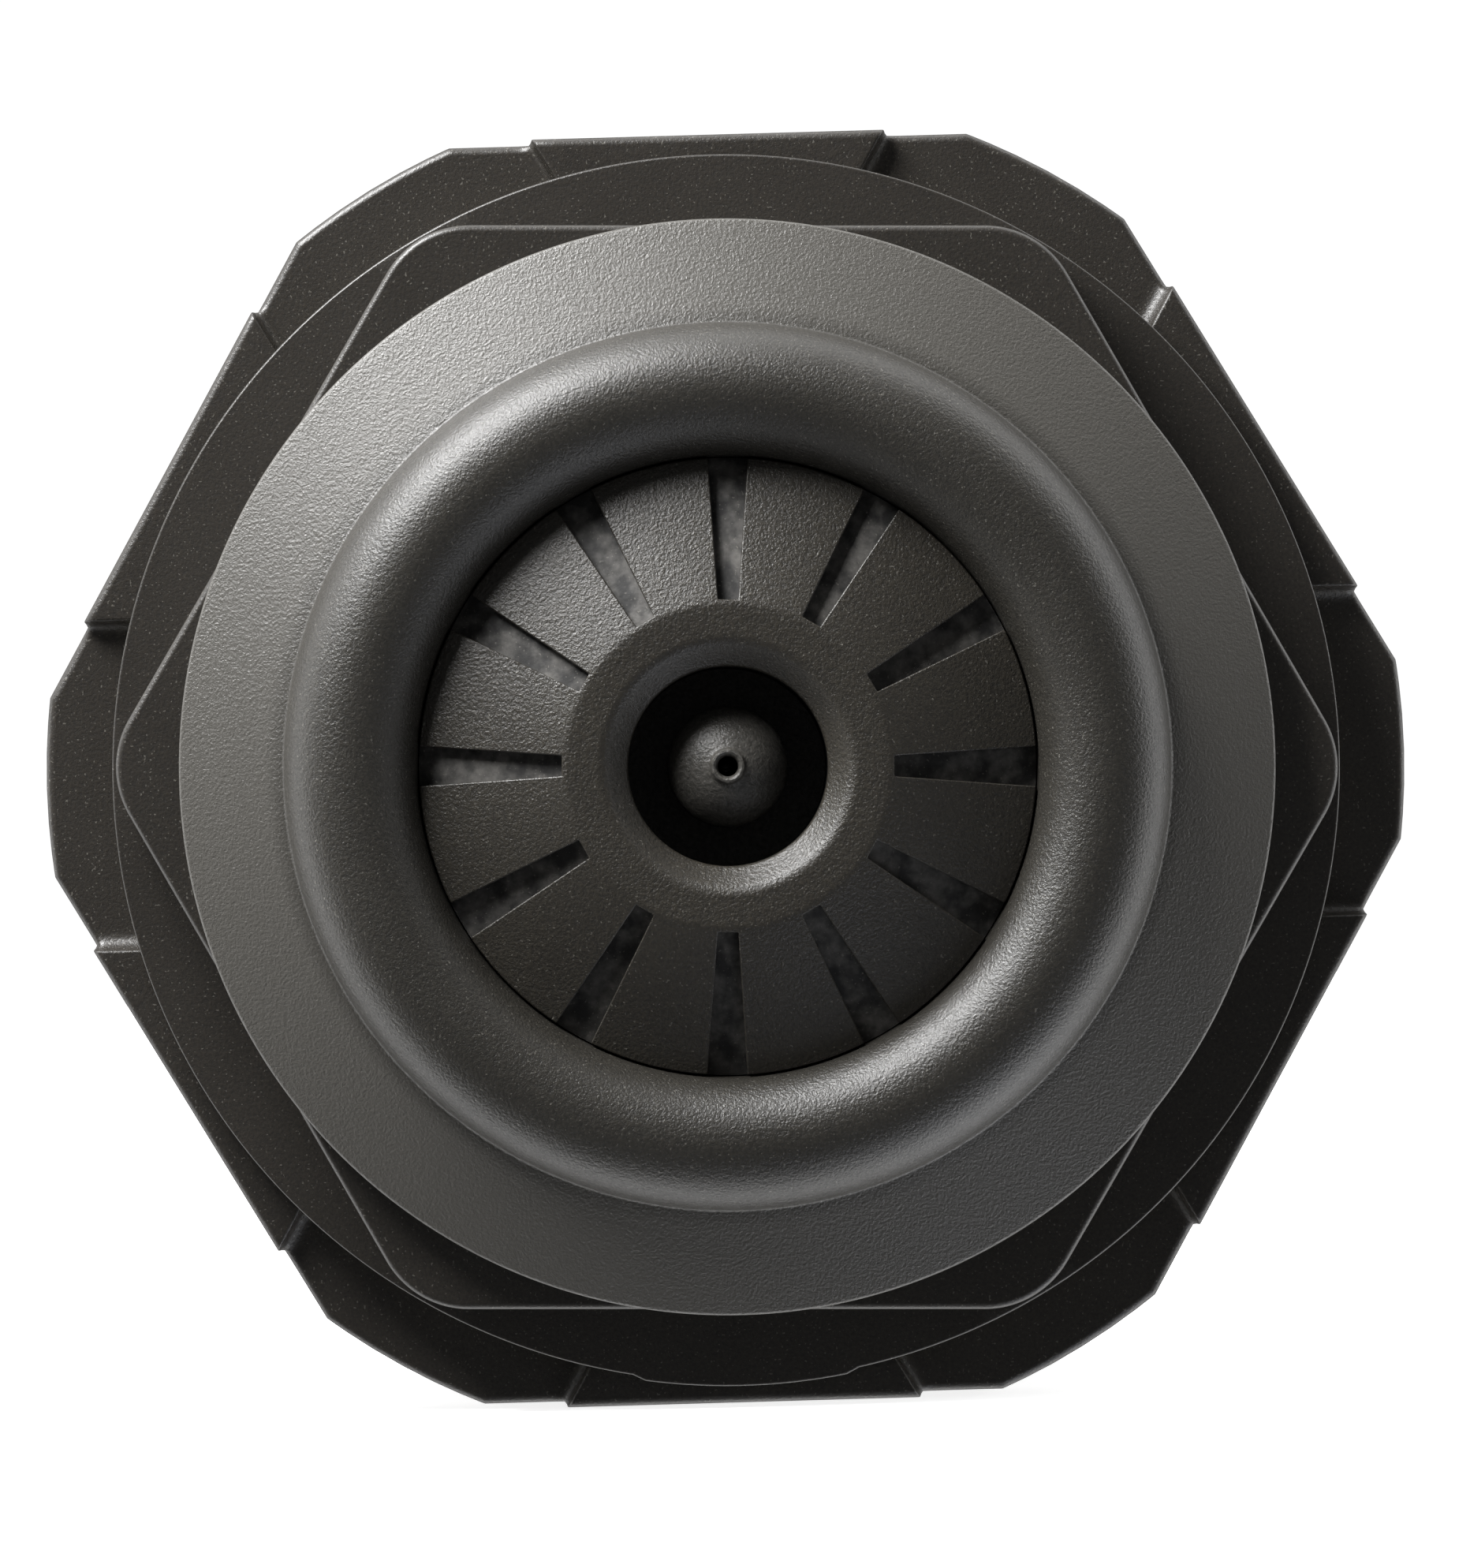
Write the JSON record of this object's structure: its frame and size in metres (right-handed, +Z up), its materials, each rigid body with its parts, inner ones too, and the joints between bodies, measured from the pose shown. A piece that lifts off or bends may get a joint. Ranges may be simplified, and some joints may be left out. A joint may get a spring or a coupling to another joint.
{
  "type": "rock tumbler barrel",
  "caption": "Six-sided rotary tumbler barrel with a rubber liner, a screw lid carrying a slotted drive hub and relief valve, and a bearing-mounted stub axle.",
  "frame": {"origin": "on the surface that the barrel lies on, below the middle of its length", "axes": "+Z up, +Y along the barrel's axis from the lid towards the stub axle, +X to the right as seen from the lid's end"},
  "size_m": [0.1152, 0.1328, 0.1074],
  "materials": {
    "shell_plastic": "fine spark-eroded grain",
    "lid_plastic": "fine spark-eroded grain",
    "collar_plastic": "fine grain, slight sheen",
    "face_plastic": "fine spark-eroded grain",
    "core_plastic": "smooth, slightly mottled",
    "bush_plastic": "black, matt",
    "thread_plastic": "smooth",
    "slip_plastic": "smooth, natural white",
    "strainer_plastic": "smooth",
    "liner_rubber": "matt black",
    "seal_rubber": "matt black",
    "screw_steel": "zinc plated",
    "bearing_steel": "ground",
    "axle_steel": "ground",
    "clip_steel": "phosphated spring steel",
    "cage_brass": "pressed",
    "seat_brass": "turned",
    "filter_felt": "felted wool"
  },
  "bodies": {
    "barrel": {"barrel_shell": "shell_plastic", "mouth_thread_ring": "thread_plastic", "barrel_liner": "liner_rubber", "rear_cover": "shell_plastic", "rear_cover_screws": "screw_steel", "bearing_outer_ring": "bearing_steel", "bearing_shields": "bearing_steel", "bearing_circlip": "clip_steel"},
    "axle": {"bearing_inner_ring": "bearing_steel", "stub_axle": "axle_steel", "axle_clip": "clip_steel"},
    "ball_cage": {"bearing_balls": "bearing_steel", "bearing_cage": "cage_brass"},
    "seal_carrier": {"slip_ring": "slip_plastic", "lid_seal": "seal_rubber"},
    "lid": {"lid_body": "lid_plastic", "flared_collar": "collar_plastic", "collar_screws": "screw_steel", "slotted_face": "face_plastic", "drive_core": "core_plastic", "core_screws": "screw_steel", "bore_bush": "bush_plastic", "vent_nipple": "collar_plastic", "nipple_o_ring": "seal_rubber", "valve_seat": "seat_brass", "seat_o_ring": "seal_rubber", "filter_disc": "filter_felt", "filter_retainer": "strainer_plastic", "retainer_screws": "screw_steel", "valve_spring": "clip_steel"},
    "relief_valve": {"valve_ball": "bearing_steel"}
  },
  "joints": [
    {"name": "lid_travel", "type": "slide", "parent": "barrel", "child": "seal_carrier", "axis": [0, -1, 0], "range_m": [0, 0.0095]},
    {"name": "lid_turn", "type": "hinge", "parent": "seal_carrier", "child": "lid", "pos_m": [0, -0.04645, 0.0537], "axis": [0, -1, 0], "range_deg": [0, 285]},
    {"name": "relief_lift", "type": "slide", "parent": "lid", "child": "relief_valve", "axis": [0, -1, 0], "range_m": [0, 0.0012], "stiffness_N_per_m": 200, "springref_m": -0.002, "deforming": ["valve_spring"]},
    {"name": "axle_spin", "type": "hinge", "parent": "barrel", "child": "axle", "pos_m": [0, 0.04995, 0.0537], "axis": [0, 1, 0], "continuous": true},
    {"name": "cage_spin", "type": "hinge", "parent": "barrel", "child": "ball_cage", "pos_m": [0, 0.04995, 0.0537], "axis": [0, 1, 0], "continuous": true}
  ],
  "couplings": [
    {"joint": "lid_travel", "follows": "lid_turn", "m_per_rad": 0.0019099},
    {"joint": "cage_spin", "follows": "axle_spin", "ratio": 0.368}
  ]
}
